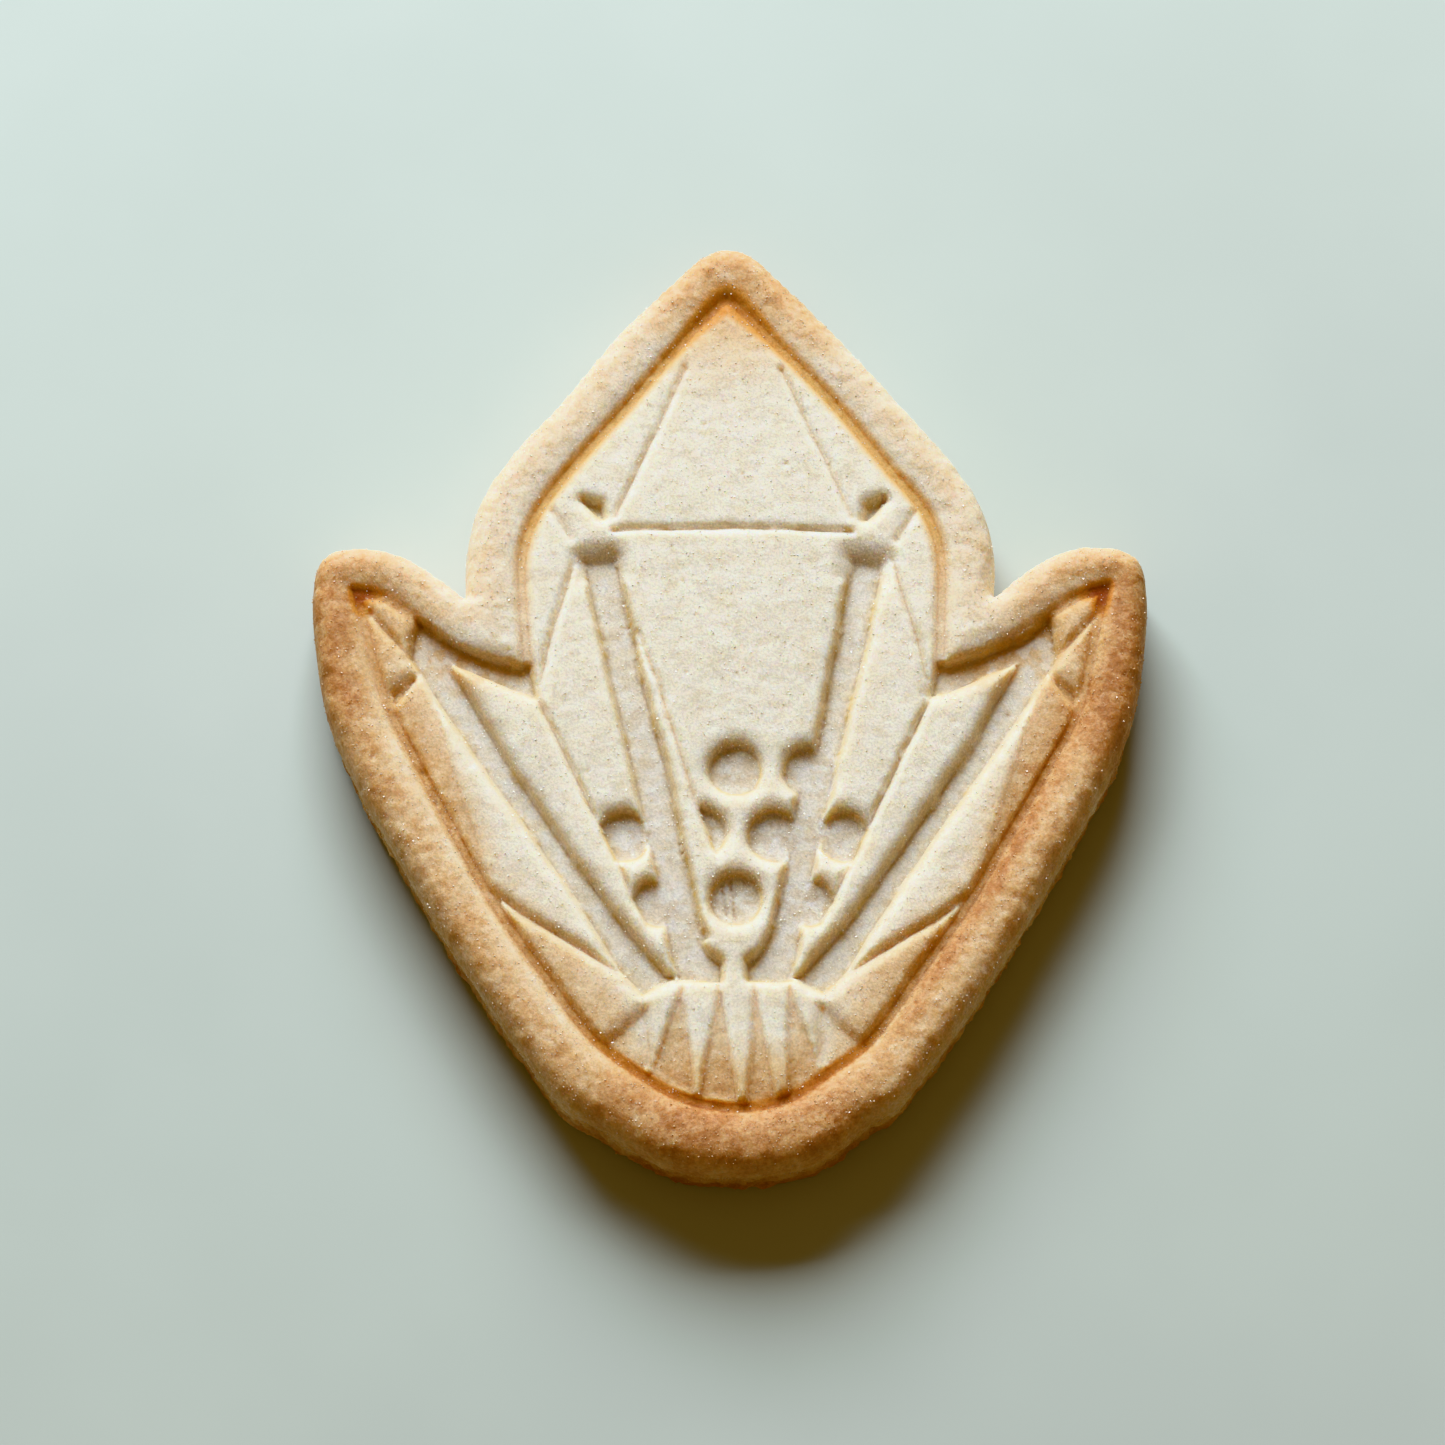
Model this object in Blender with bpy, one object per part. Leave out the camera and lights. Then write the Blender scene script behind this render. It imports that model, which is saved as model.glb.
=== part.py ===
"""A corn-shaped sugar cookie: one baked solid with a figure stamped into its top.

Plan points and heights are in millimetres, with the cob's tip towards +Y, and
become metres when the mesh is made. relief() gives the height of the top at any
plan point: a raised rim, a groove inside it, and a face with channels, creases
and round dimples pressed into it. The origin is under the middle of the cookie,
on the surface that it lies on.
"""
import bpy
import numpy as np
from mathutils.geometry import delaunay_2d_cdt

MM = 0.001

# Heights above the table.
RIM_TOP = 8.5
FACE_TOP = 8.15
FLOOR = 6.8              # bottom of the channels and the dimples
GROOVE_FLOORS = (7.75, 7.35)  # bottom of the groove inside the rim, at the cob and below
SHOULDER_Z = 5.9         # where the rim's round outer edge meets the side wall
FOOT_ROUND = 1.5         # round where the side wall meets the base

# Widths on the plan.
OUTER_ROUNDS = (1.9, 2.0)  # from the outline to the flat of the rim, at the cob and below
GROOVE_TO_FACE = 0.6     # from the middle line of the groove to the face's foot
GROOVE_TO_RIM = 0.1      # from the same line to the rim's foot
RIM_SLOPES = (2.5, 2.8)  # the rim's slope into the groove, at the cob and below
FACE_SLOPE = 0.9         # the face's steeper slope into the groove

# How an edge falls: 0.5 is a quarter of an ellipse, 1 is softer.
ELLIPSE, HARD, SOFT, CREASE = 0.5, 0.6, 0.7, 1.0

# The mesh: plan points are laid out densely, then thinned out.
GRID = 0.45
CLOSEST = 0.6            # the least distance between plan points, in spacings
BASE_GRID = 4.0
CURVE_GRID = 1.0         # spacing of the points that distances are measured to
WALL_ROWS = 12
FOOT_ROWS = 3
MOST_TRIANGLES = 11200
BASE_TOLERANCE = 0.01    # thinning leaves the base this far out of flat

# The outline, anticlockwise. The leaves meet the cob at a notch on each side.
COB = [(23.8, 11.7), (23.9, 15.8), (22.9, 20.4), (20.4, 24.7), (15.6, 30.6),
       (10.4, 36.8), (4.6, 43.1), (2.0, 45.5), (-0.3, 46.2), (-2.4, 45.6),
       (-5.0, 43.2), (-10.6, 37.3), (-15.4, 31.0), (-20.4, 25.0),
       (-22.9, 20.6), (-23.9, 15.8), (-23.9, 11.6)]
LEAVES = [(-23.9, 11.6), (-26.4, 13.6), (-29.6, 15.6), (-34.2, 16.4),
          (-37.0, 15.3), (-37.7, 12.0), (-37.2, 6.0), (-36.0, 0.0),
          (-33.4, -6.1), (-29.6, -12.9), (-25.3, -20.3), (-20.3, -28.0),
          (-16.6, -33.3), (-14.2, -36.1), (-11.4, -37.6), (-8.2, -39.8),
          (-4.0, -41.6), (0.4, -42.0), (5.2, -41.5), (9.3, -39.7),
          (11.8, -37.5), (14.7, -35.7), (17.2, -32.6), (20.9, -27.5),
          (25.2, -20.8), (29.4, -13.4), (33.4, -6.3), (35.9, -0.4),
          (37.1, 5.6), (37.6, 12.2), (36.9, 15.4), (33.6, 16.6),
          (29.6, 15.9), (26.3, 13.9), (23.8, 11.7)]

# The middle of the groove inside the rim. It has corners at the leaf tips and
# where the leaves leave the cob.
GROOVE = [
    [(-18.4, 4.6), (-22.0, 5.4), (-25.5, 7.1), (-28.5, 9.6), (-31.0, 11.4),
     (-33.9, 11.9)],
    [(-33.9, 11.9), (-32.7, 7.0), (-31.2, 1.8), (-28.3, -4.0), (-25.0, -10.4),
     (-21.0, -17.7), (-16.5, -24.2), (-12.2, -30.0), (-8.3, -33.1),
     (-4.2, -35.5), (0.6, -36.4), (5.2, -35.5), (8.8, -33.1), (12.2, -30.4),
     (16.8, -24.0), (21.4, -17.3), (25.2, -10.6), (28.6, -4.6), (31.4, 0.8),
     (32.8, 7.0), (34.0, 12.4)],
    [(34.0, 12.4), (31.2, 11.5), (28.4, 9.6), (25.4, 7.6), (22.2, 5.8),
     (19.0, 4.8)],
    [(19.0, 4.8), (19.2, 10.0), (19.2, 15.5), (17.9, 19.6), (14.6, 23.9),
     (9.8, 30.2), (4.6, 36.1), (1.0, 40.0), (-0.3, 40.9), (-1.6, 39.9),
     (-5.0, 36.0), (-9.7, 30.0), (-14.6, 24.0), (-17.7, 19.5),
     (-19.0, 15.5), (-18.9, 10.0), (-18.4, 4.6)],
]

# The stamped figure is alike on both sides of its middle line, so most of its
# points are given once, as (distance from the middle, y).
FIGURE_MIDDLE = 0.3
FULL = FACE_TOP - FLOOR
INNER_CHANNEL = [(10.5, 14.4), (13.3, 14.1), (11.9, 7.4), (10.1, 0.0),
                 (8.35, -7.6), (6.6, -15.5), (5.0, -24.6), (1.25, -24.6),
                 (1.25, -23.0), (2.3, -22.2), (3.2, -20.5), (3.8, -18.2),
                 (4.3, -15.2), (4.9, -11.8), (5.6, -8.0), (6.8, -4.4),
                 (8.0, 0.5), (9.6, 8.7)]
CHANNEL_HEAD = [(10.9, 15.0), (13.2, 14.7), (12.9, 13.6), (10.8, 13.6)]
OUTER_CHANNEL = [(27.8, 3.8), (25.2, -0.2), (21.6, -5.6), (18.1, -10.6),
                 (14.8, -15.7), (11.8, -20.3), (9.9, -23.6), (7.9, -25.7),
                 (5.2, -24.3), (6.0, -24.1), (9.2, -20.4), (14.8, -12.6),
                 (20.3, -4.2), (25.7, 5.3), (17.7, 1.8), (18.4, 4.8),
                 (22.2, 5.6), (26.5, 7.6), (28.4, 9.3), (28.9, 5.6)]
KNOT_PIT = [(13.6, 20.7), (12.1, 20.2), (11.8, 19.0), (12.1, 19.0)]
LEAF_NOTCH = [(28.3, 3.9), (30.4, 2.0), (30.2, 1.1)]
OUTER_LEDGE = [(28.3, 4.0), (27.3, 3.0), (26.2, -0.5), (25.0, -4.9),
               (23.5, -9.6), (21.6, -15.4), (24.0, -14.0), (32.0, 0.0)]
FAN_GAP = [(7.6, -27.4), (11.4, -30.8), (11.0, -31.5), (7.2, -32.6),
           (7.5, -29.5)]
# area, width of its edge, depth, how round the edge is
HALF_AREAS = [
    (INNER_CHANNEL, 1.0, FULL, HARD),
    (CHANNEL_HEAD, 2.5, FULL, CREASE),
    (OUTER_CHANNEL, 1.4, FULL, HARD),
    (KNOT_PIT, 1.3, 0.9 * FULL, SOFT),
    (LEAF_NOTCH, 1.6, 0.7 * FULL, SOFT),
    (OUTER_LEDGE, 0.8, 0.35, SOFT),
    (FAN_GAP, 1.5, 0.65, SOFT),
]
# line, half its width, depth
HALF_CREASES = [
    ([(4.4, 33.6), (10.7, 19.1)], 0.7, 0.45),
    ([(16.5, 19.6), (14.7, 16.9)], 1.0, 0.4),
    ([(14.3, 15.2), (15.0, 12.2), (16.4, 7.5), (17.6, 1.8)], 0.8, 0.55),
    ([(17.6, 1.7), (8.6, -17.5)], 0.65, 0.7),
    ([(21.9, -16.0), (19.0, -18.3), (13.0, -22.1), (10.2, -23.8)], 1.0, 0.75),
    ([(32.8, 9.8), (29.1, 5.6)], 0.8, 0.6),
]
# The left channel is wider than the right one by this strip, which has no twin
# and is given as whole plan points. So are the next two creases.
CHANNEL_STRIP = [(-10.1, 13.4), (-8.75, 8.0), (-7.8, 2.8), (-5.9, -4.3),
                 (-4.3, -11.6), (-3.4, -15.7), (-2.7, -18.7), (-2.2, -20.7),
                 (-3.6, -20.0), (-5.0, -13.7), (-7.2, -4.6), (-8.4, 0.5),
                 (-10.0, 8.7)]
CHANNEL_EDGE = 1.0
CROSS_CREASE = ([(-10.6, 17.7), (0.3, 18.0), (11.0, 17.6)], 0.7, 0.5)
LONG_CREASE = ([(-8.35, 8.2), (-6.6, 3.4), (-4.25, -4.3), (-3.0, -8.6),
                (-1.3, -12.9)], 0.6, 0.5)

# Dimples as (x, y, radius). A dimple beside a crease stops at a straight line,
# where its edge is steeper.
DIMPLE_EDGE = 1.9
LINE_STEEPNESS = 2.5
WHOLE_DIMPLES = [(0.45, -5.2, 2.25), (7.0, -5.25, 2.2), (3.9, -11.3, 2.3),
                 (0.5, -17.2, 2.25)]
CUT_DIMPLE = (-2.7, -11.1, 2.2)
CUT_DIMPLE_LINE = [(-3.2, -7.6), (-1.3, -12.9)]
HALF_DIMPLES = [(9.7, -11.4, 2.25), (6.7, -17.55, 2.1)]
HALF_DIMPLE_LINE = [(8.6, -17.5), (17.6, 1.7)]

# Hollows between the fan's ribs: a point at the top, two corners at the foot.
# They are deepest at the foot.
FAN_HOLLOWS = [
    [(-4.2, -25.5), (-6.9, -33.2), (-3.2, -35.0)],
    [(-1.0, -25.1), (-2.6, -35.2), (0.5, -35.6)],
    [(2.05, -25.1), (1.5, -35.6), (3.8, -35.4)],
    [(5.1, -25.3), (5.0, -35.0), (8.0, -33.6)],
]
FAN_TOP_DEPTH, FAN_FOOT_DEPTH, FAN_EDGE = 0.35, 0.75, 0.6

CRUST_COLOUR = (0.80, 0.62, 0.40, 1.0)


def smooth_run(points, spacing):
    """A Catmull-Rom curve through the listed points, without the last one."""
    p = np.array(points, float)
    p = np.vstack([2 * p[0] - p[1], p, 2 * p[-1] - p[-2]])
    length = np.linalg.norm(np.diff(p, axis=0), axis=1)
    t = np.concatenate([[0.0], np.cumsum(np.sqrt(length))])
    slope = np.diff(p, axis=0) / np.diff(t)[:, None]
    across = (p[2:] - p[:-2]) / (t[2:] - t[:-2])[:, None]
    tangent = slope[:-1] + slope[1:] - across
    curve = []
    for i in range(1, len(p) - 2):
        leave, arrive = (t[i + 1] - t[i]) * tangent[i - 1:i + 1]
        count = max(2, round(length[i] / spacing))
        for u in np.arange(count) / count:
            blend = u * u * (3 - 2 * u)
            straight = (1 - blend) * p[i] + blend * p[i + 1]
            curve.append(straight + u * (1 - u) * ((1 - u) * leave - u * arrive))
    return np.array(curve)


def closed_curve(runs, spacing):
    """The runs joined end to end, with corners where they meet."""
    return np.vstack([smooth_run(run, spacing) for run in runs])


def distance_to(plan, line, closed=False):
    """Distance of each plan point to a line of straight pieces."""
    line = np.array(line, float)
    ends = np.roll(line, -1, axis=0)
    pieces = len(line) if closed else len(line) - 1
    nearest = np.full(len(plan), np.inf)
    for start, end in zip(line[:pieces], ends[:pieces]):
        along = end - start
        t = np.clip((plan - start) @ along / (along @ along), 0, 1)
        gap = plan - start - t[:, None] * along
        nearest = np.minimum(nearest, np.hypot(gap[:, 0], gap[:, 1]))
    return nearest


def is_inside(plan, area):
    """Whether each plan point is inside a closed area."""
    x, y = plan[:, 0], plan[:, 1]
    inside = np.zeros(len(plan), bool)
    for (x0, y0), (x1, y1) in zip(area, np.roll(area, -1, axis=0)):
        if y0 != y1:
            level = (y0 > y) != (y1 > y)
            inside ^= level & (x < (x1 - x0) * (y - y0) / (y1 - y0) + x0)
    return inside


def outside_of(plan, area):
    """Distance to the edge of an area, negative inside it."""
    edge = distance_to(plan, area, closed=True)
    return np.where(is_inside(plan, area), -edge, edge)


def outside_dimple(plan, x, y, radius, line=None):
    """Distance to the edge of a dimple, which lies left of its line if it has one."""
    outside = np.hypot(plan[:, 0] - x, plan[:, 1] - y) - radius
    if line is not None:
        start, end = np.array(line, float)
        along = (end - start) / np.linalg.norm(end - start)
        gap = plan - start
        beyond = along[1] * gap[:, 0] - along[0] * gap[:, 1]
        outside = np.maximum(outside, LINE_STEEPNESS * beyond)
    return outside


def pressed(outside, width, depth, power):
    """Depth near an area or a line: full at its edge, none a width away."""
    u = np.clip(outside / width, 0, 1)
    return depth * (1 - (1 - (1 - u) ** 2) ** power)


def mirrored(points, side):
    """Half-figure points, on one side of the figure's middle."""
    return [(FIGURE_MIDDLE + side * x, y) for x, y in points]


def fan_hollow(plan, hollow):
    """Depth of one hollow of the fan, which deepens from its point to its foot."""
    tip, left, right = np.array(hollow)
    down = (left + right) / 2 - tip
    t = np.clip((plan - tip) @ down / (down @ down), 0, 1)
    depth = FAN_TOP_DEPTH + (FAN_FOOT_DEPTH - FAN_TOP_DEPTH) * t
    return pressed(outside_of(plan, hollow), FAN_EDGE, depth, SOFT)


def outside_dimples(plan):
    """Distance to the edge of the nearest dimple, negative inside one."""
    gaps = [outside_dimple(plan, *dimple) for dimple in WHOLE_DIMPLES]
    gaps.append(outside_dimple(plan, *CUT_DIMPLE, CUT_DIMPLE_LINE))
    for side in (-1, 1):
        line = mirrored(HALF_DIMPLE_LINE, side)[::side]
        for x, y, radius in HALF_DIMPLES:
            gaps.append(outside_dimple(plan, FIGURE_MIDDLE + side * x, y, radius, line))
    return np.min(gaps, axis=0)


def figure_depth(plan):
    """How far each plan point is pressed below the face by the figure."""
    cuts = []
    for side in (-1, 1):
        for area, width, depth, power in HALF_AREAS:
            outside = outside_of(plan, mirrored(area, side))
            cuts.append(pressed(outside, width, depth, power))
        for line, width, depth in HALF_CREASES:
            away = distance_to(plan, mirrored(line, side))
            cuts.append(pressed(away, width, depth, CREASE))
    cuts.append(pressed(outside_of(plan, CHANNEL_STRIP), CHANNEL_EDGE, FULL, HARD))
    for line, width, depth in (CROSS_CREASE, LONG_CREASE):
        cuts.append(pressed(distance_to(plan, line), width, depth, CREASE))
    cuts.append(pressed(outside_dimples(plan), DIMPLE_EDGE, FULL, ELLIPSE))
    for hollow in FAN_HOLLOWS:
        cuts.append(fan_hollow(plan, hollow))
    return np.max(cuts, axis=0)


def step_up(values, low, high):
    """0 up to low, 1 from high, smooth between them."""
    t = np.clip((values - low) / (high - low), 0, 1)
    return t * t * (3 - 2 * t)


def by_height(plan, sizes):
    """The first size around the cob, the second around the lower leaves."""
    at_cob, below = sizes
    return below + (at_cob - below) * step_up(plan[:, 1], -4.0, 8.0)


def relief(plan):
    """Height of the top at each plan point, from its distances inside the edges."""
    outline = -outside_of(plan, closed_curve([COB, LEAVES], CURVE_GRID))
    groove = -outside_of(plan, closed_curve(GROOVE, CURVE_GRID))
    groove_floor = by_height(plan, GROOVE_FLOORS)
    face_foot = pressed(groove - GROOVE_TO_FACE, FACE_SLOPE, FACE_TOP - groove_floor, HARD)
    face = FACE_TOP - np.maximum(figure_depth(plan), face_foot)
    slope = by_height(plan, RIM_SLOPES)
    rim = RIM_TOP - pressed(-groove - GROOVE_TO_RIM, slope, RIM_TOP - groove_floor, SOFT)
    top = np.where(groove < -GROOVE_TO_RIM, rim, face)
    edge = pressed(outline, by_height(plan, OUTER_ROUNDS), RIM_TOP - SHOULDER_Z, ELLIPSE)
    return np.minimum(top, RIM_TOP - edge)


def straight_run(points, spacing):
    """Plan points along straight pieces from the first listed point to the last."""
    run = []
    for start, end in zip(np.array(points, float), np.array(points[1:], float)):
        count = max(1, round(np.linalg.norm(end - start) / spacing))
        run += [start + (end - start) * i / count for i in range(count)]
    return run + [np.array(points[-1], float)]


def circle(x, y, radius, spacing):
    angles = np.arange(0, 2 * np.pi, spacing / radius)
    return list(np.column_stack([x + radius * np.cos(angles), y + radius * np.sin(angles)]))


def feature_points(spacing):
    """Plan points along every edge and crease, so that the mesh follows them."""
    points = []
    groove = closed_curve(GROOVE, spacing)
    for inset in (-GROOVE_TO_RIM, GROOVE_TO_FACE):
        points += list(inset_ring(groove, inset))
    for side in (-1, 1):
        for area, _, _, _ in HALF_AREAS:
            points += straight_run(mirrored(area + area[:1], side), spacing)
        for line, _, _ in HALF_CREASES:
            points += straight_run(mirrored(line, side), spacing)
        for x, y, radius in HALF_DIMPLES:
            points += circle(FIGURE_MIDDLE + side * x, y, radius, spacing)
    points += straight_run(CHANNEL_STRIP + CHANNEL_STRIP[:1], spacing)
    for line, _, _ in (CROSS_CREASE, LONG_CREASE):
        points += straight_run(line, spacing)
    for dimple in WHOLE_DIMPLES + [CUT_DIMPLE]:
        points += circle(*dimple, spacing)
    for hollow in FAN_HOLLOWS:
        points += straight_run(hollow + hollow[:1], spacing)
    return points


def staggered_grid(ring, spacing):
    """Plan points in staggered rows over the box of a ring."""
    low, high = ring.min(axis=0), ring.max(axis=0)
    rows = np.arange(low[1], high[1], spacing * np.sqrt(0.75))
    columns = np.arange(low[0], high[0], spacing)
    x, y = np.meshgrid(columns, rows)
    x[1::2] += spacing / 2
    return list(np.stack([x.ravel(), y.ravel()], axis=1))


def spaced_inside(ring, points, gap):
    """The points that are inside a ring, each a gap away from those before it."""
    plan = np.array(points)
    plan = plan[outside_of(plan, ring) < -gap]
    cells = {}
    kept = []
    for x, y in plan:
        i, j = int(x // gap), int(y // gap)
        near = [q for a in (-1, 0, 1) for b in (-1, 0, 1) for q in cells.get((i + a, j + b), ())]
        if all((x - u) ** 2 + (y - v) ** 2 >= gap * gap for u, v in near):
            cells.setdefault((i, j), []).append((x, y))
            kept.append((x, y))
    return np.array(kept)


def triangles_inside(ring, plan):
    """Triangles over a ring and the plan points in it, which keep their order."""
    points = [tuple(p) for p in np.vstack([ring, plan])]
    boundary = [list(range(len(ring)))]
    made, _, faces, came_from, _, _ = delaunay_2d_cdt(points, [], boundary, 1, 1e-7)
    assert len(made) == len(points)
    number = [source[0] for source in came_from]
    return [tuple(number[i] for i in face) for face in faces]


def wall_profile():
    """Height and inset of each ring of the side wall below the shoulder."""
    straight = [(z, 0.0) for z in np.linspace(SHOULDER_Z, FOOT_ROUND, WALL_ROWS)[1:]]
    angles = np.linspace(0, np.pi / 2, FOOT_ROWS + 1)[1:]
    foot = [(FOOT_ROUND * (1 - np.sin(a)), FOOT_ROUND * (1 - np.cos(a))) for a in angles]
    return straight + foot


def inset_ring(ring, inset):
    """A ring moved inwards, square to its edge."""
    along = np.roll(ring, -1, axis=0) - np.roll(ring, 1, axis=0)
    along /= np.linalg.norm(along, axis=1)[:, None]
    return ring + inset * np.stack([-along[:, 1], along[:, 0]], axis=1)


def cookie_mesh(name):
    """The closed skin of the cookie: relief on top, side wall, flat base."""
    ring = closed_curve([COB, LEAVES], GRID)
    inner = feature_points(GRID) + staggered_grid(ring, GRID)
    inner = spaced_inside(ring, inner, CLOSEST * GRID)
    plan = np.vstack([ring, inner])
    height = relief(plan)
    height[:len(ring)] = SHOULDER_Z
    points = [np.column_stack([plan, height])]
    faces = triangles_inside(ring, inner)
    count = len(ring)
    above, total = 0, len(plan)
    for z, inset in wall_profile():
        lower = inset_ring(ring, inset)
        points.append(np.column_stack([lower, np.full(count, z)]))
        for i in range(count):
            j = (i + 1) % count
            faces.append((above + i, total + i, total + j, above + j))
        above, total = total, total + count
    under = spaced_inside(lower, staggered_grid(lower, BASE_GRID), CLOSEST * BASE_GRID)
    points.append(np.column_stack([under, np.zeros(len(under))]))
    faces += [tuple(above + i for i in face[::-1]) for face in triangles_inside(lower, under)]
    points = np.vstack(points)
    middle = (ring.min(axis=0) + ring.max(axis=0)) / 2
    points[:, :2] -= middle
    mesh = bpy.data.meshes.new(name)
    mesh.from_pydata(points * MM, [], faces)
    return mesh


def crust_material():
    material = bpy.data.materials.new("baked crust")
    material.use_nodes = True
    shader = material.node_tree.nodes["Principled BSDF"]
    shader.inputs["Base Color"].default_value = CRUST_COLOUR
    shader.inputs["Roughness"].default_value = 0.85
    shader.inputs["Metallic"].default_value = 0.0
    return material


def thinned(cookie):
    """The object's mesh with fewer triangles where it is flat, and a flat base."""
    triangles = sum(len(face.vertices) - 2 for face in cookie.data.polygons)
    thin = cookie.modifiers.new("thin out", "DECIMATE")
    thin.ratio = MOST_TRIANGLES / triangles
    depsgraph = bpy.context.evaluated_depsgraph_get()
    mesh = bpy.data.meshes.new_from_object(cookie.evaluated_get(depsgraph))
    cookie.modifiers.remove(thin)
    for vertex in mesh.vertices:
        if vertex.co.z < BASE_TOLERANCE * MM:
            vertex.co.z = 0.0
    return mesh


def clear_scene():
    for old in list(bpy.data.objects):
        bpy.data.objects.remove(old, do_unlink=True)


def main():
    clear_scene()
    cookie = bpy.data.objects.new("cookie", cookie_mesh("cookie"))
    bpy.context.scene.collection.objects.link(cookie)
    cookie.data = thinned(cookie)
    cookie.data.materials.append(crust_material())
    cookie.data.shade_smooth()


main()
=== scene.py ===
"""The looks of a corn-shaped sugar cookie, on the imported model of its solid.

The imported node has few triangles, so it is replaced by a finer skin of the same
form, with the unevenness, pits and crumb of baked dough, and by sugar crystals
that lie on it. Plan points and heights are in millimetres, with the cob's tip
towards +Y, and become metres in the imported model's frame.
"""
import math

import bpy
import numpy as np
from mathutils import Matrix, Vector, noise
from mathutils.geometry import delaunay_2d_cdt


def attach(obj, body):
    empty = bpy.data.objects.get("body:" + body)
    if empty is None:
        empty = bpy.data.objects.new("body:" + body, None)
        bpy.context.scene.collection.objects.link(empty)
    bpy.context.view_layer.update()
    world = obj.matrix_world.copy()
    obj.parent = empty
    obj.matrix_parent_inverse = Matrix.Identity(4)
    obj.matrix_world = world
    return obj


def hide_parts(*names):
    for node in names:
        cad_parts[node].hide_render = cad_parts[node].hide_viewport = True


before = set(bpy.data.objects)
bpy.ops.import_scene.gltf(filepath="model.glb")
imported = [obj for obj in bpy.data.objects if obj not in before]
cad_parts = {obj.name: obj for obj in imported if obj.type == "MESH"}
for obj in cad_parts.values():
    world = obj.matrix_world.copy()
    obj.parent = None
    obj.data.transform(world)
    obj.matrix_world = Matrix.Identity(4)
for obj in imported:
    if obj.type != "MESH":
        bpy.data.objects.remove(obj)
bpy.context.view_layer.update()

MM = 0.001
rng = np.random.default_rng(7)

# --- the form -----------------------------------------------------------------
# Its sizes are the solid's, apart from the dimples' edge and floor and the roundness
# of the rim's slope beside the cob. The mesh is finer than the solid's, and only the
# skin has the fan's streaks and the scratches.

# Heights above the table.
RIM_TOP = 8.5
FACE_TOP = 8.15
FLOOR = 6.8              # bottom of the channels and the dimples
GROOVE_FLOORS = (7.75, 7.35)  # bottom of the groove inside the rim, at the cob and below
SHOULDER_Z = 5.9         # where the rim's round outer edge meets the side wall
FOOT_ROUND = 1.5         # round where the side wall meets the base

# Widths on the plan.
OUTER_ROUNDS = (1.9, 2.0)  # from the outline to the flat of the rim, at the cob and below
GROOVE_TO_FACE = 0.6     # from the middle line of the groove to the face's foot
GROOVE_TO_RIM = 0.1      # from the same line to the rim's foot
RIM_SLOPES = (2.5, 2.8)  # the rim's slope into the groove, at the cob and below
COB_TO_LEAVES = (8.0, -4.0)  # the y where "at the cob" ends and where "below" starts
FACE_SLOPE = 0.9         # the face's steeper slope into the groove

# How an edge falls: 0.5 is a quarter of an ellipse, 1 is softer.
ELLIPSE, HARD, SOFT, CREASE = 0.5, 0.6, 0.7, 1.0
RIM_ROUNDNESS = (ELLIPSE, SOFT)  # the rim's slope into the groove, at the cob and below

# The mesh.
GRID = 0.3
CLOSEST = 0.6            # the least distance between plan points, in spacings
BASE_GRID = 2.0
CURVE_GRID = 0.7         # spacing of the points that distances are measured to
WALL_ROWS = 18
FOOT_ROWS = 4

# The outline, anticlockwise. The leaves meet the cob at a notch on each side.
COB = [(23.8, 11.7), (23.9, 15.8), (22.9, 20.4), (20.4, 24.7), (15.6, 30.6),
       (10.4, 36.8), (4.6, 43.1), (2.0, 45.5), (-0.3, 46.2), (-2.4, 45.6),
       (-5.0, 43.2), (-10.6, 37.3), (-15.4, 31.0), (-20.4, 25.0),
       (-22.9, 20.6), (-23.9, 15.8), (-23.9, 11.6)]
LEAVES = [(-23.9, 11.6), (-26.4, 13.6), (-29.6, 15.6), (-34.2, 16.4),
          (-37.0, 15.3), (-37.7, 12.0), (-37.2, 6.0), (-36.0, 0.0),
          (-33.4, -6.1), (-29.6, -12.9), (-25.3, -20.3), (-20.3, -28.0),
          (-16.6, -33.3), (-14.2, -36.1), (-11.4, -37.6), (-8.2, -39.8),
          (-4.0, -41.6), (0.4, -42.0), (5.2, -41.5), (9.3, -39.7),
          (11.8, -37.5), (14.7, -35.7), (17.2, -32.6), (20.9, -27.5),
          (25.2, -20.8), (29.4, -13.4), (33.4, -6.3), (35.9, -0.4),
          (37.1, 5.6), (37.6, 12.2), (36.9, 15.4), (33.6, 16.6),
          (29.6, 15.9), (26.3, 13.9), (23.8, 11.7)]

# The middle of the groove inside the rim. It has corners at the leaf tips and
# where the leaves leave the cob.
GROOVE = [
    [(-18.4, 4.6), (-22.0, 5.4), (-25.5, 7.1), (-28.5, 9.6), (-31.0, 11.4),
     (-33.9, 11.9)],
    [(-33.9, 11.9), (-32.7, 7.0), (-31.2, 1.8), (-28.3, -4.0), (-25.0, -10.4),
     (-21.0, -17.7), (-16.5, -24.2), (-12.2, -30.0), (-8.3, -33.1),
     (-4.2, -35.5), (0.6, -36.4), (5.2, -35.5), (8.8, -33.1), (12.2, -30.4),
     (16.8, -24.0), (21.4, -17.3), (25.2, -10.6), (28.6, -4.6), (31.4, 0.8),
     (32.8, 7.0), (34.0, 12.4)],
    [(34.0, 12.4), (31.2, 11.5), (28.4, 9.6), (25.4, 7.6), (22.2, 5.8),
     (19.0, 4.8)],
    [(19.0, 4.8), (19.2, 10.0), (19.2, 15.5), (17.9, 19.6), (14.6, 23.9),
     (9.8, 30.2), (4.6, 36.1), (1.0, 40.0), (-0.3, 40.9), (-1.6, 39.9),
     (-5.0, 36.0), (-9.7, 30.0), (-14.6, 24.0), (-17.7, 19.5),
     (-19.0, 15.5), (-18.9, 10.0), (-18.4, 4.6)],
]

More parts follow.
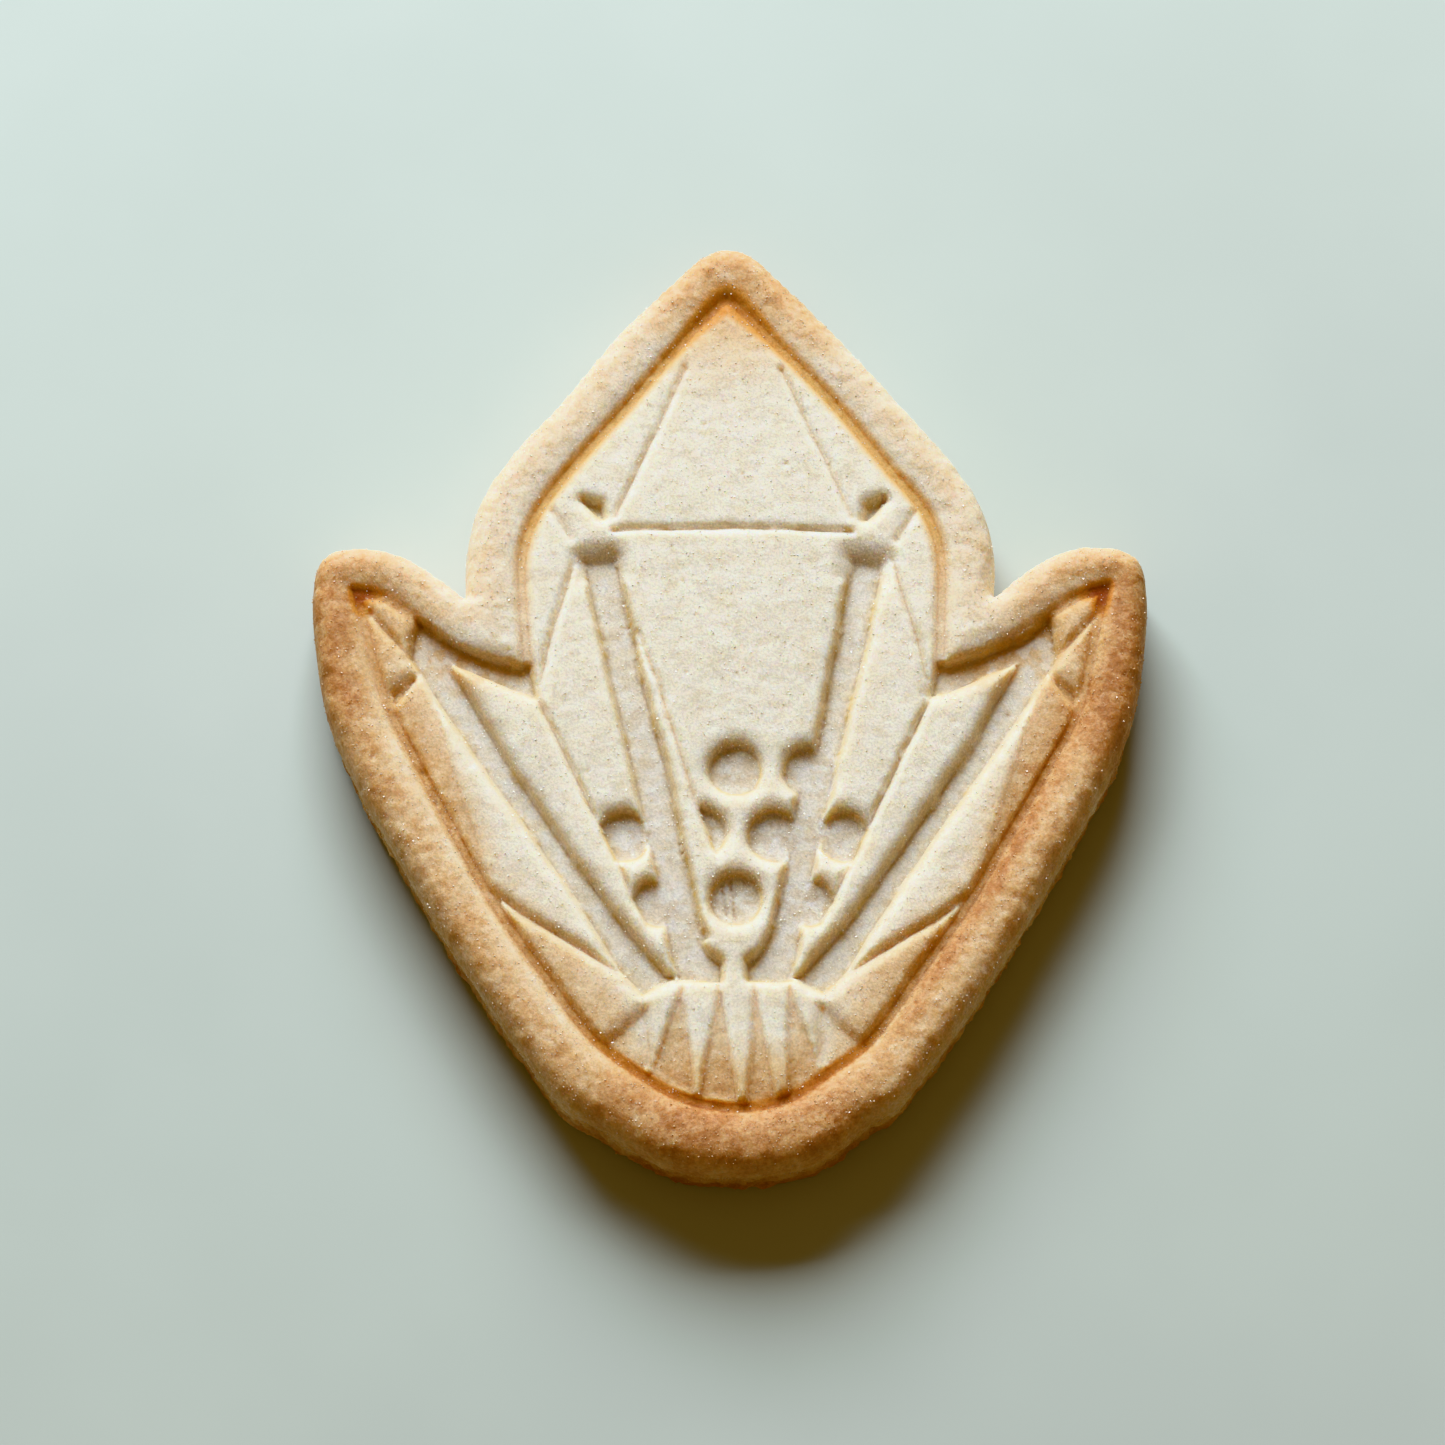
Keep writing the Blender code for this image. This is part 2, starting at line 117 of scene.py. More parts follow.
# The stamped figure is alike on both sides of its middle line, so most of its
# points are given once, as (distance from the middle, y).
FIGURE_MIDDLE = 0.3
FULL = FACE_TOP - FLOOR  # depth of the channels and the dimples
INNER_CHANNEL = [(10.5, 14.4), (13.3, 14.1), (11.9, 7.4), (10.1, 0.0),
                 (8.35, -7.6), (6.6, -15.5), (5.0, -24.6), (1.25, -24.6),
                 (1.25, -23.0), (2.3, -22.2), (3.2, -20.5), (3.8, -18.2),
                 (4.3, -15.2), (4.9, -11.8), (5.6, -8.0), (6.8, -4.4),
                 (8.0, 0.5), (9.6, 8.7)]
CHANNEL_HEAD = [(10.9, 15.0), (13.2, 14.7), (12.9, 13.6), (10.8, 13.6)]
OUTER_CHANNEL = [(27.8, 3.8), (25.2, -0.2), (21.6, -5.6), (18.1, -10.6),
                 (14.8, -15.7), (11.8, -20.3), (9.9, -23.6), (7.9, -25.7),
                 (5.2, -24.3), (6.0, -24.1), (9.2, -20.4), (14.8, -12.6),
                 (20.3, -4.2), (25.7, 5.3), (17.7, 1.8), (18.4, 4.8),
                 (22.2, 5.6), (26.5, 7.6), (28.4, 9.3), (28.9, 5.6)]
KNOT_PIT = [(13.6, 20.7), (12.1, 20.2), (11.8, 19.0), (12.1, 19.0)]
LEAF_NOTCH = [(28.3, 3.9), (30.4, 2.0), (30.2, 1.1)]
OUTER_LEDGE = [(28.3, 4.0), (27.3, 3.0), (26.2, -0.5), (25.0, -4.9),
               (23.5, -9.6), (21.6, -15.4), (24.0, -14.0), (32.0, 0.0)]
FAN_GAP = [(7.6, -27.4), (11.4, -30.8), (11.0, -31.5), (7.2, -32.6),
           (7.5, -29.5)]
# area, width of its edge, depth, how round the edge is
HALF_AREAS = [
    (INNER_CHANNEL, 1.0, FULL, HARD),
    (CHANNEL_HEAD, 2.5, FULL, CREASE),
    (OUTER_CHANNEL, 1.4, FULL, HARD),
    (KNOT_PIT, 1.3, 0.9 * FULL, SOFT),
    (LEAF_NOTCH, 1.6, 0.7 * FULL, SOFT),
    (OUTER_LEDGE, 0.8, 0.35, SOFT),
    (FAN_GAP, 1.5, 0.65, SOFT),
]
# line, half its width, depth
HALF_CREASES = [
    ([(4.4, 33.6), (10.7, 19.1)], 0.7, 0.45),
    ([(16.5, 19.6), (14.7, 16.9)], 1.0, 0.4),
    ([(14.3, 15.2), (15.0, 12.2), (16.4, 7.5), (17.6, 1.8)], 0.8, 0.55),
    ([(17.6, 1.7), (8.6, -17.5)], 0.65, 0.7),
    ([(21.9, -16.0), (19.0, -18.3), (13.0, -22.1), (10.2, -23.8)], 1.0, 0.75),
    ([(32.8, 9.8), (29.1, 5.6)], 0.8, 0.6),
]
# The left channel is wider than the right one by this strip, which has no twin
# and is given as whole plan points. So are the next two creases.
CHANNEL_STRIP = [(-10.1, 13.4), (-8.75, 8.0), (-7.8, 2.8), (-5.9, -4.3),
                 (-4.3, -11.6), (-3.4, -15.7), (-2.7, -18.7), (-2.2, -20.7),
                 (-3.6, -20.0), (-5.0, -13.7), (-7.2, -4.6), (-8.4, 0.5),
                 (-10.0, 8.7)]
CHANNEL_EDGE = 1.0
CROSS_CREASE = ([(-10.6, 17.7), (0.3, 18.0), (11.0, 17.6)], 0.7, 0.5)
LONG_CREASE = ([(-8.35, 8.2), (-6.6, 3.4), (-4.25, -4.3), (-3.0, -8.6),
                (-1.3, -12.9)], 0.6, 0.5)

# Dimples as (x, y, radius). A dimple beside a crease stops at a straight line,
# where its edge is steeper.
DIMPLE_EDGE = 1.6
LINE_STEEPNESS = 2.5
DISH_REACH, DISH_RISE = 1.4, 0.25  # the floor rises over this reach to its edge, by this much
WHOLE_DIMPLES = [(0.45, -5.2, 2.25), (7.0, -5.25, 2.2), (3.9, -11.3, 2.3),
                 (0.5, -17.2, 2.25)]
CUT_DIMPLE = (-2.7, -11.1, 2.2)
CUT_DIMPLE_LINE = [(-3.2, -7.6), (-1.3, -12.9)]
HALF_DIMPLES = [(9.7, -11.4, 2.25), (6.7, -17.55, 2.1)]
HALF_DIMPLE_LINE = [(8.6, -17.5), (17.6, 1.7)]

# Hollows between the fan's ribs: a point at the top, two corners at the foot.
# They are deepest at the foot.
FAN_HOLLOWS = [
    [(-4.2, -25.5), (-6.9, -33.2), (-3.2, -35.0)],
    [(-1.0, -25.1), (-2.6, -35.2), (0.5, -35.6)],
    [(2.05, -25.1), (1.5, -35.6), (3.8, -35.4)],
    [(5.1, -25.3), (5.0, -35.0), (8.0, -33.6)],
]
FAN_TOP_DEPTH, FAN_FOOT_DEPTH, FAN_EDGE = 0.35, 0.75, 0.6
FAN_STREAKS = (0.07, 0.4, 5.0)  # height, width and length of the fine ridges in a hollow

# Scratches in the lowest dimple and a crack in the left groove: line, half its width, depth.
SCRATCHES = [([(-0.8, -15.3), (-0.3, -18.6)], 0.35, 0.3),
             ([(0.0, -15.2), (0.4, -18.9)], 0.35, 0.3),
             ([(-1.6, -16.0), (-1.2, -18.0)], 0.3, 0.2),
             ([(-27.6, -4.6), (-27.1, -6.3), (-26.3, -7.4), (-26.0, -8.6)], 0.3, 0.3)]

# --- the dough's unevenness, as (height or shift, size of its swells) --------

WANDER = (0.16, 3.5)         # edges and creases wander sideways
SWELL = (0.08, 9.0)          # slow rise and fall of the whole top
LUMPS = (0.04, 1.6)          # small lumps all over
WRINKLES = (0.035, 0.8)      # fine wrinkles
WRINKLE_STRETCH = (2.0, 1.0, 1.0)  # they are longer across the cookie than up it
RIM_LUMPS = (0.08, 0.8)      # coarser crumb on the rim
CRUMBLE = (0.22, 1.3)        # the rim's outer edge, in and out
WALL_LUMPS = (0.26, 0.9)     # rough crumb on the side wall
SETTLED = 0.07               # how far the uneven top lies below the even one
WALL_BULGE = (0.22, 5.0)     # slow in and out of the side wall
WALL_SETTLED = 0.2           # how far the uneven wall lies inside the even one
ROWS_TO_FULL = (6, 3)        # rows from the shoulder and from the base to full unevenness
PITS = 90                    # pinholes where air came out
PIT_AREA = ((-36, 36), (-40, 44))  # their range in x and in y
PIT_RADII = (0.2, 0.42)
PIT_DEPTH = 0.22

# --- browning, from 0 to 1 ------------------------------------------------------

TOAST_PATCHES = (0.22, 4.0)  # share and size of the rim's lighter and darker patches
COB_RIM_TOAST = 0.14
LEAF_RIM_TOAST = 0.5
# Spots on the rim: x, y, reach, how brown.
BROWN_SPOTS = [(-38.0, 5.0, 17.0, 0.82), (38.0, 4.0, 18.0, 1.0),
               (0.0, -42.0, 26.0, 0.8), (2.0, 46.0, 18.0, 0.55)]
SPOT_CORE = 0.3              # the share of a rim spot's reach that is fully brown

# The rim's inner slope keeps this share of the rim's browning: everywhere, and more
# of it low on the right and at the foot.
SLOPE_SHARE, RIGHT_SLOPE_SHARE, FOOT_SLOPE_SHARE = 0.35, 0.65, 0.68
RIGHT_SLOPE_TOAST = 0.35     # added to the slope low on the right
# Distances in from the outline over which the slope's share and its extra set in.
SLOPE_SHARE_RANGE, RIGHT_SLOPE_RANGE = (2.4, 4.8), (2.9, 4.2)
RIM_FOOT_TOAST = 0.7         # where the rim meets the groove
FACE_FOOT_TOAST = 0.5        # where the face meets the groove
FOOT_LINE = 0.2              # how far inside the groove's middle line both lie

FACE_TOAST, RIGHT_FACE_TOAST = 0.38, 0.06  # the face beside the groove, and more on the right
FACE_REACH, LEAF_FACE_REACH = 4.6, 2.0     # how far in from the groove, and more low down
FAN_BAND_TOAST = 0.1         # across the face, growing down the fan's lower half
FAN_TOAST, FAN_HALF_WIDTH = 0.16, 8.0      # more on the fan itself
HOLLOW_TOAST = 0.24          # more in the fan's hollows
HOLLOW_STREAKS = (0.12, 1.0)       # streaks of lighter and darker browning in them
HOLLOW_STRETCH = (0.4, 5.0, 1.0)   # narrow across the hollow, long down it
LEDGE_TOAST = (0.14, 0.26)   # the outer ledges, left and right
# Spots on the face: x, y, distance to full brown, reach, how brown.
FACE_SPOTS = [(-32.0, 9.0, 2.0, 9.0, 0.42), (32.0, 9.0, 2.0, 9.0, 0.42),
              (-0.3, 41.0, 0.0, 13.0, 0.32)]

# The groove's extra browning and painted shade: everywhere, and more at the cob and at the foot.
GROOVE_TOAST_AND_SHADE, COB_GROOVE_TOAST_AND_SHADE, FOOT_GROOVE_TOAST_AND_SHADE = 0.12, 0.28, 0.54
# Towards the tip: how brown, how it fades, and x, y, distance to full brown, reach.
TIP_GROOVE_TOAST_AND_SHADE, TIP_GROOVE_FADE = 0.9, 1.5
TIP_GROOVE_SPOT = (-0.3, 41.2, -10.0, 34.0)
# Spots in the groove: x, y, distance to full brown, reach, how brown.
GROOVE_SPOTS = [(-33.9, 12.0, 1.0, 3.6, 1.0), (33.9, 12.0, 1.0, 3.6, 1.0),
                (-30.0, 12.0, 2.0, 9.0, 0.15), (30.0, 12.0, 2.0, 9.0, 0.15)]
GROOVE_BROWN_HALF = 0.75     # half the brown line's width
COB_BROWN_WIDER, TIP_BROWN_WIDER = 0.45, 1.0  # added to it at the cob and at the tip
TIP_WIDER_SPOT = (-0.3, 42.0, 0.0, 8.0)
GROOVE_BROWN_LINE = 0.3      # how far inside the groove's middle line it lies

WALL_TOAST = 0.2             # the side wall's, on top of the rim's edge
BASE_TOAST = 0.7

# --- painted shade in the hollows and on steep walls, tint and painted shade on the floors ---

CREASE_REACH, CREASE_DEPTH = 0.5, 0.22  # painted crease shade is full this far below the mean in this reach
DIMPLE_FOOT_SHADE = 0.8       # painted shade, as in a crease, at the edge of a dimple's floor
STEEP_RANGE = (0.12, 0.5)    # slopes from slight to fully steep, as 1 - the normal's z, for the painted amber shade on walls
FLOOR_SHARE = 0.7            # the floors' greyish tint and painted shade in the channels, beside 1 in the dimples

# --- sugar --------------------------------------------------------------------

CRYSTALS = 9000
CRYSTAL_SIZES = (0.05, 0.15)
CRYSTAL_RAISED = 0.12        # how far its middle lies above the skin, in its own sizes
CRYSTAL_FACES = [(0, 1, 3, 2), (4, 6, 7, 5), (0, 4, 5, 1),
                 (2, 3, 7, 6), (0, 2, 6, 4), (1, 5, 7, 3)]

# --- the camera at the photo's viewing angle, the light and the floor -----------

CAMERA_LENS = 120.0
CAMERA_SENSOR = 36.0
CAMERA_ELEVATION = 70.0
CAMERA_DISTANCE = 430.0
AIM = (-0.71, -0.47, 7.0)    # plan point and height in the middle of the picture

# Soft lights: name, place, width and height, watts, colour.
LIGHTS = [
    ("window behind", (-140, 690, 480), (620, 480), 14.2, (0.85, 0.94, 1.0)),
    ("fill in front", (250, -500, 600), (700, 700), 0.25, (1.0, 0.74, 0.42)),
]
WORLD_COLOUR = (1.0, 0.62, 0.26, 1.0)
WORLD_STRENGTH = 0.15
FLOOR_SIZE = 3000.0


def smooth_run(points, spacing):
    """A Catmull-Rom curve through the listed points, without the last one."""
    p = np.array(points, float)
    p = np.vstack([2 * p[0] - p[1], p, 2 * p[-1] - p[-2]])
    length = np.linalg.norm(np.diff(p, axis=0), axis=1)
    t = np.concatenate([[0.0], np.cumsum(np.sqrt(length))])
    slope = np.diff(p, axis=0) / np.diff(t)[:, None]
    across = (p[2:] - p[:-2]) / (t[2:] - t[:-2])[:, None]
    tangent = slope[:-1] + slope[1:] - across
    curve = []
    for i in range(1, len(p) - 2):
        leave, arrive = (t[i + 1] - t[i]) * tangent[i - 1:i + 1]
        count = max(2, round(length[i] / spacing))
        for u in np.arange(count) / count:
            blend = u * u * (3 - 2 * u)
            straight = (1 - blend) * p[i] + blend * p[i + 1]
            curve.append(straight + u * (1 - u) * ((1 - u) * leave - u * arrive))
    return np.array(curve)


def closed_curve(runs, spacing):
    """The runs joined end to end, with corners where they meet."""
    return np.vstack([smooth_run(run, spacing) for run in runs])


def distance_to(plan, line, closed=False):
    """Distance of each plan point to a line of straight pieces."""
    line = np.array(line, float)
    ends = np.roll(line, -1, axis=0)
    pieces = len(line) if closed else len(line) - 1
    nearest = np.full(len(plan), np.inf)
    for start, end in zip(line[:pieces], ends[:pieces]):
        along = end - start
        t = np.clip((plan - start) @ along / (along @ along), 0, 1)
        gap = plan - start - t[:, None] * along
        nearest = np.minimum(nearest, np.hypot(gap[:, 0], gap[:, 1]))
    return nearest


def is_inside(plan, area):
    """Whether each plan point is inside a closed area."""
    x, y = plan[:, 0], plan[:, 1]
    inside = np.zeros(len(plan), bool)
    for (x0, y0), (x1, y1) in zip(area, np.roll(area, -1, axis=0)):
        if y0 != y1:
            level = (y0 > y) != (y1 > y)
            inside ^= level & (x < (x1 - x0) * (y - y0) / (y1 - y0) + x0)
    return inside


def outside_of(plan, area):
    """Distance to the edge of an area, negative inside it."""
    edge = distance_to(plan, area, closed=True)
    return np.where(is_inside(plan, area), -edge, edge)


def outside_dimple(plan, x, y, radius, line=None):
    """Distance to the edge of a dimple, which lies left of its line if it has one."""
    outside = np.hypot(plan[:, 0] - x, plan[:, 1] - y) - radius
    if line is not None:
        start, end = np.array(line, float)
        along = (end - start) / np.linalg.norm(end - start)
        gap = plan - start
        beyond = along[1] * gap[:, 0] - along[0] * gap[:, 1]
        outside = np.maximum(outside, LINE_STEEPNESS * beyond)
    return outside


def pressed(outside, width, depth, power):
    """Depth near an area or a line: full at its edge, none a width away."""
    u = np.clip(outside / width, 0, 1)
    return depth * (1 - (1 - (1 - u) ** 2) ** power)


def mirrored(points, side):
    """Half-figure points, on one side of the figure's middle."""
    return [(FIGURE_MIDDLE + side * x, y) for x, y in points]


def fan_hollow(plan, hollow):
    """Depth of one hollow of the fan, which deepens from its point to its foot."""
    tip, left, right = np.array(hollow)
    down = (left + right) / 2 - tip
    t = np.clip((plan - tip) @ down / (down @ down), 0, 1)
    depth = FAN_TOP_DEPTH + (FAN_FOOT_DEPTH - FAN_TOP_DEPTH) * t
    return pressed(outside_of(plan, hollow), FAN_EDGE, depth, SOFT)


def outside_dimples(plan):
    """Distance to the edge of the nearest dimple, negative inside one."""
    gaps = [outside_dimple(plan, *dimple) for dimple in WHOLE_DIMPLES]
    gaps.append(outside_dimple(plan, *CUT_DIMPLE, CUT_DIMPLE_LINE))
    for side in (-1, 1):
        line = mirrored(HALF_DIMPLE_LINE, side)[::side]
        for x, y, radius in HALF_DIMPLES:
            gaps.append(outside_dimple(plan, FIGURE_MIDDLE + side * x, y, radius, line))
    return np.min(gaps, axis=0)


def in_fan_hollow(plan):
    """1 well inside a hollow of the fan, 0 outside all of them."""
    outside = [outside_of(plan, np.array(hollow)) for hollow in FAN_HOLLOWS]
    return 1 - step_up(np.min(outside, axis=0), -0.4, 0.2)


def dimple_depth(plan):
    """How far the dimples are pressed in: a soft edge around a slightly dished floor."""
    outside = outside_dimples(plan)
    near = np.clip(1 + outside / DISH_REACH, 0, 1)
    return pressed(outside, DIMPLE_EDGE, FULL - DISH_RISE, ELLIPSE) + DISH_RISE * (1 - near**2)


def figure_depth(plan):
    """How far each plan point is pressed below the face by the figure."""
    cuts = []
    for side in (-1, 1):
        for area, width, depth, power in HALF_AREAS:
            outside = outside_of(plan, mirrored(area, side))
            cuts.append(pressed(outside, width, depth, power))
        for line, width, depth in HALF_CREASES:
            away = distance_to(plan, mirrored(line, side))
            cuts.append(pressed(away, width, depth, CREASE))
    cuts.append(pressed(outside_of(plan, CHANNEL_STRIP), CHANNEL_EDGE, FULL, HARD))
    for line, width, depth in (CROSS_CREASE, LONG_CREASE):
        cuts.append(pressed(distance_to(plan, line), width, depth, CREASE))
    cuts.append(dimple_depth(plan))
    for hollow in FAN_HOLLOWS:
        cuts.append(fan_hollow(plan, hollow))
    return np.max(cuts, axis=0)


def by_height(plan, sizes):
    """The first size around the cob, the second around the lower leaves."""
    at_cob, below = sizes
    cob_ends, leaves_start = COB_TO_LEAVES
    return below + (at_cob - below) * step_up(plan[:, 1], leaves_start, cob_ends)


def relief(plan, outline, groove):
    """Height of the top at each plan point, from its distances inside the edges."""
    groove_floor = by_height(plan, GROOVE_FLOORS)
    face_foot = pressed(groove - GROOVE_TO_FACE, FACE_SLOPE, FACE_TOP - groove_floor, HARD)
    face = FACE_TOP - np.maximum(figure_depth(plan), face_foot)
    slope = by_height(plan, RIM_SLOPES)
    power = by_height(plan, RIM_ROUNDNESS)
    rim = RIM_TOP - pressed(-groove - GROOVE_TO_RIM, slope, RIM_TOP - groove_floor, power)
    top = np.where(groove < -GROOVE_TO_RIM, rim, face)
    edge = pressed(outline, by_height(plan, OUTER_ROUNDS), RIM_TOP - SHOULDER_Z, ELLIPSE)
    return np.minimum(top, RIM_TOP - edge)


# --- unevenness ---------------------------------------------------------------


def uneven(points, swell, seed, octaves=2):
    """Smooth noise about zero at each point, of the given (height, size)."""
    height, size = swell
    shift = Vector((seed * 17.3, seed * 5.1, seed * 31.7))
    values = [noise.fractal(Vector(p) / size + shift, 0.7, 2.0, octaves) for p in points]
    return height * np.array(values)


def as_space(plan, z=0.0):
    """Plan points at one height."""
    return np.column_stack([plan, np.full(len(plan), z)])


def step_up(values, low, high):
    """0 up to low, 1 from high, smooth between them."""
    t = np.clip((values - low) / (high - low), 0, 1)
    return t * t * (3 - 2 * t)


# --- the mesh -----------------------------------------------------------------


def straight_run(points, spacing):
    """Plan points along straight pieces from the first listed point to the last."""
    run = []
    for start, end in zip(np.array(points, float), np.array(points[1:], float)):
        count = max(1, round(np.linalg.norm(end - start) / spacing))
        run += [start + (end - start) * i / count for i in range(count)]
    return run + [np.array(points[-1], float)]


def circle(x, y, radius, spacing):
    """Plan points around a circle."""
    angles = np.arange(0, 2 * np.pi, spacing / radius)
    return list(np.column_stack([x + radius * np.cos(angles), y + radius * np.sin(angles)]))


def feature_points(spacing):
    """Plan points along every edge and crease, so that the mesh follows them."""
    points = []
    groove = closed_curve(GROOVE, spacing)
    for inset in (-GROOVE_TO_RIM, GROOVE_TO_FACE):
        points += list(inset_ring(groove, inset))
    for side in (-1, 1):
        for area, _, _, _ in HALF_AREAS:
            points += straight_run(mirrored(area + area[:1], side), spacing)
        for line, _, _ in HALF_CREASES:
            points += straight_run(mirrored(line, side), spacing)
        for x, y, radius in HALF_DIMPLES:
            points += circle(FIGURE_MIDDLE + side * x, y, radius, spacing)
    points += straight_run(CHANNEL_STRIP + CHANNEL_STRIP[:1], spacing)
    for line, _, _ in (CROSS_CREASE, LONG_CREASE):
        points += straight_run(line, spacing)
    for dimple in WHOLE_DIMPLES + [CUT_DIMPLE]:
        points += circle(*dimple, spacing)
    for hollow in FAN_HOLLOWS:
        points += straight_run(hollow + hollow[:1], spacing)
    return points


def staggered_grid(ring, spacing):
    """Plan points in staggered rows over the box of a ring."""
    low, high = ring.min(axis=0), ring.max(axis=0)
    rows = np.arange(low[1], high[1], spacing * math.sqrt(0.75))
    columns = np.arange(low[0], high[0], spacing)
    x, y = np.meshgrid(columns, rows)
    x[1::2] += spacing / 2
    return list(np.stack([x.ravel(), y.ravel()], axis=1))


def spaced_inside(ring, points, gap):
    """The points that are inside a ring, each a gap away from those before it."""
    plan = np.array(points)
    plan = plan[outside_of(plan, ring) < -gap]
    cells = {}
    kept = []
    for x, y in plan:
        i, j = int(x // gap), int(y // gap)
        near = [q for a in (-1, 0, 1) for b in (-1, 0, 1) for q in cells.get((i + a, j + b), ())]
        if all((x - u) ** 2 + (y - v) ** 2 >= gap * gap for u, v in near):
            cells.setdefault((i, j), []).append((x, y))
            kept.append((x, y))
    return np.array(kept)


def triangles_inside(ring, plan):
    """Triangles over a ring and the plan points in it, which keep their order."""
    points = [tuple(p) for p in np.vstack([ring, plan])]
    boundary = [list(range(len(ring)))]
    made, _, faces, came_from, _, _ = delaunay_2d_cdt(points, [], boundary, 1, 1e-7)
    assert len(made) == len(points)
    number = [source[0] for source in came_from]
    return [tuple(number[i] for i in face) for face in faces]


def wall_profile():
    """Height and inset of each ring of the side wall below the shoulder."""
    straight = [(z, 0.0) for z in np.linspace(SHOULDER_Z, FOOT_ROUND, WALL_ROWS)[1:]]
    angles = np.linspace(0, np.pi / 2, FOOT_ROWS + 1)[1:]
    foot = [(FOOT_ROUND * (1 - np.sin(a)), FOOT_ROUND * (1 - np.cos(a))) for a in angles]
    return straight + foot


def outward(ring):
    """The outward direction at each point of a ring."""
    along = np.roll(ring, -1, axis=0) - np.roll(ring, 1, axis=0)
    along /= np.linalg.norm(along, axis=1)[:, None]
    return np.stack([along[:, 1], -along[:, 0]], axis=1)


def inset_ring(ring, inset):
    """A ring moved inwards, square to its edge."""
    return ring - inset * outward(ring)


def top_heights(plan, outline, groove):
    """The relief with the unevenness of baked dough."""
    space = as_space(plan)
    wander = np.column_stack([uneven(space, WANDER, seed) for seed in (1, 2)])
    crumbled = np.maximum(outline + uneven(space, CRUMBLE, 8) * step_up(outline, 0.0, 0.6), 0)
    height = relief(plan + wander, crumbled, groove)
    height += uneven(space, SWELL, 3) + uneven(space, LUMPS, 4) - SETTLED
    for line, width, depth in SCRATCHES:
        height -= pressed(distance_to(plan, line), width, depth, CREASE)
    height += uneven(space / WRINKLE_STRETCH, WRINKLES, 10, octaves=3)
    on_rim = step_up(-groove, 0.3, 1.5)
    height += on_rim * uneven(space, RIM_LUMPS, 5, octaves=3)
    streak_height, width, length = FAN_STREAKS
    stretched = space / (width, length, 1.0)
    height += in_fan_hollow(plan) * uneven(stretched, (streak_height, 1.0), 9)
    for x, y, radius, depth in pits():
        away = np.hypot(plan[:, 0] - x, plan[:, 1] - y)
        height -= depth * (1 - step_up(away, 0.0, radius))
    return height


def pits():
    """Pinholes as (x, y, radius, depth), anywhere on the top."""
    x, y = (rng.uniform(low, high, PITS) for low, high in PIT_AREA)
    radius = rng.uniform(*PIT_RADII, PITS)
    return zip(x, y, radius, PIT_DEPTH * rng.uniform(0.4, 1.0, PITS))


def sunken(plan, height, reach):
    """How far each point lies below the mean height within about a reach of it."""
    cell, margin = 0.25, 2
    low = plan.min(axis=0) - margin
    size = np.ceil((plan.max(axis=0) + margin - low) / cell).astype(int)
    index = tuple(((plan - low) / cell).astype(int).T)
    total, count = np.zeros(size), np.zeros(size)
    np.add.at(total, index, height)
    np.add.at(count, index, 1)
    half = round(reach / 2 / cell)
    for _ in range(3):  # three box blurs come close to a round one
        for axis in (0, 1):
            total = sum(np.roll(total, k, axis) for k in range(-half, half + 1))
            count = sum(np.roll(count, k, axis) for k in range(-half, half + 1))
    return (total / np.maximum(count, 1))[index] - height


def spot(plan, x, y, inner, reach):
    """1 within an inner distance of a plan point, 0 from its reach."""
    return 1 - step_up(np.hypot(plan[:, 0] - x, plan[:, 1] - y), inner, reach)


def below_cob(plan):
    """0 at the cob, 1 around the lower leaves."""
    return step_up(-plan[:, 1], -9.0, 6.0)


def on_right(plan):
    """0 on the left and in the middle, 1 on the right."""
    return step_up(plan[:, 0], 8.0, 18.0)


def rim_browning(plan, outline, groove):
    """How browned the rim is: by height and side, in patches, less on its inner slope."""
    below, right = below_cob(plan), on_right(plan)
    at_foot = step_up(-plan[:, 1], 28.0, 34.0)
    rim = COB_RIM_TOAST + (LEAF_RIM_TOAST - COB_RIM_TOAST) * below
    for spot_x, spot_y, reach, strength in BROWN_SPOTS:
        rim = np.maximum(rim, strength * spot(plan, spot_x, spot_y, SPOT_CORE * reach, reach))
    share = SLOPE_SHARE + np.maximum(RIGHT_SLOPE_SHARE * right * below,
                                     FOOT_SLOPE_SHARE * at_foot)
    rim *= share + (1 - share) * (1 - step_up(outline, *SLOPE_SHARE_RANGE))
    rim += RIGHT_SLOPE_TOAST * right * below * step_up(outline, *RIGHT_SLOPE_RANGE)
    rim *= 1 + uneven(as_space(plan), TOAST_PATCHES, 11)
    at_groove = 1 - step_up(np.abs(groove - FOOT_LINE), 0.1, 1.3)
    return np.maximum(rim, RIM_FOOT_TOAST * below * at_groove)


def face_browning(plan, groove):
    """How browned the face is: beside the groove, on ledges, on the fan and in spots."""
    x, y = plan.T
    below, right = below_cob(plan), on_right(plan)
    fan_height = step_up(-y, 29.0, 35.0)
    reach = FACE_REACH + LEAF_FACE_REACH * step_up(-y, 14.0, 24.0)
    near = 1 - step_up(groove / reach, 0.1, 1.0)
    beside_fan = step_up(np.abs(x - FIGURE_MIDDLE), 7.5, 10.0)
    low_down = step_up(-y, 8.0, 24.0) * (0.3 + 0.7 * beside_fan)
    leaf = np.maximum(step_up(np.abs(x), 17.0, 25.0), low_down)
    face = (FACE_TOAST + RIGHT_FACE_TOAST * right) * near * leaf + FAN_BAND_TOAST * fan_height
    for side, strength in zip((-1, 1), LEDGE_TOAST):
        ledge = -outside_of(plan, mirrored(OUTER_LEDGE, side))
        face += strength * step_up(ledge, -0.3, 0.6)
    for spot_x, spot_y, inner, spot_reach, strength in FACE_SPOTS:
        face = np.maximum(face, strength * spot(plan, spot_x, spot_y, inner, spot_reach))
    face += FAN_TOAST * fan_height * (np.abs(x) < FAN_HALF_WIDTH)
    streaks = uneven(as_space(plan) / HOLLOW_STRETCH, HOLLOW_STREAKS, 9)
    face += in_fan_hollow(plan) * (HOLLOW_TOAST + streaks)
    foot = FACE_FOOT_TOAST * below * (1 - step_up(np.abs(groove - FOOT_LINE), 0.1, 1.0))
    return np.maximum(face, foot)


